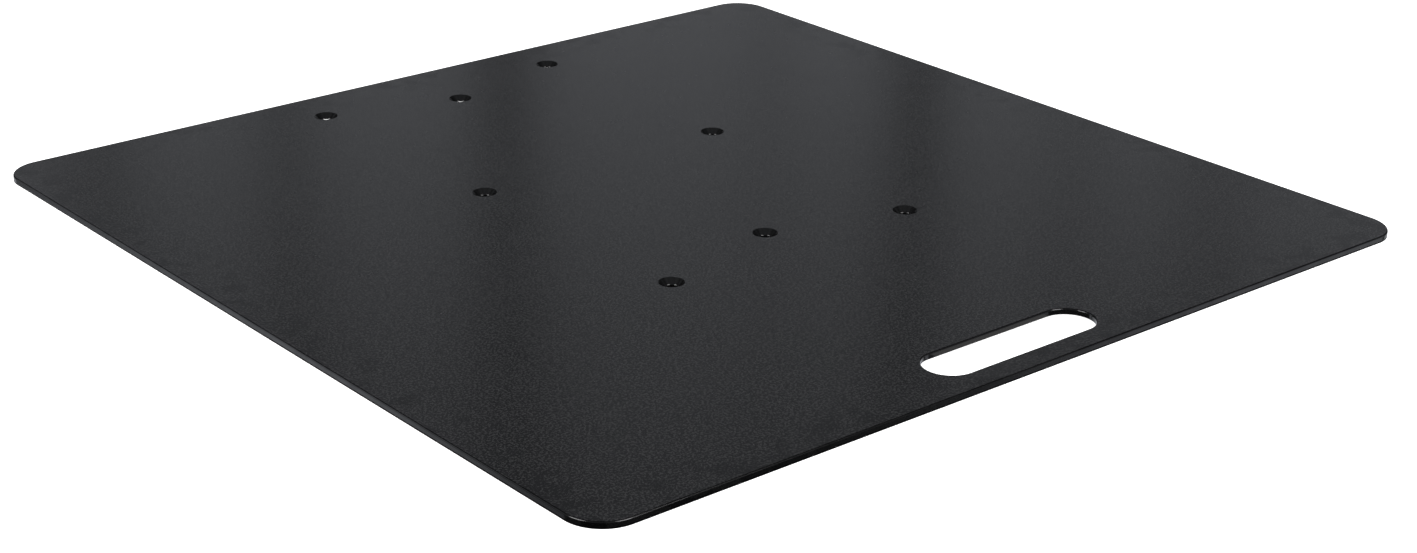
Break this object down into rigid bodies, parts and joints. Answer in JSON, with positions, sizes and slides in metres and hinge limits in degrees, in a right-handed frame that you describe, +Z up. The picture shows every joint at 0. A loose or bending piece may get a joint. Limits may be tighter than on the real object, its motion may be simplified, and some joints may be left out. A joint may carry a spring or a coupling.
{
  "type": "truss base plate",
  "caption": "Flat square steel ground plate with rounded corners, countersunk screw holes for truss couplers and a hand slot along one edge, black powder coated.",
  "frame": {"origin": "centre of the lower, plain face, on the surface that the plate lies on", "axes": "+Z up through the countersunk face; the hand slot lies along the -Y edge, with its long side along X; the outer row of screw holes is near the +Y edge"},
  "size_m": [0.8, 0.8, 0.005],
  "materials": {
    "black_powder_coat": "semi-matt black powder coat with a fine grain on steel plate"
  },
  "bodies": {
    "root": {"base_plate": "black_powder_coat"}
  },
  "joints": []
}
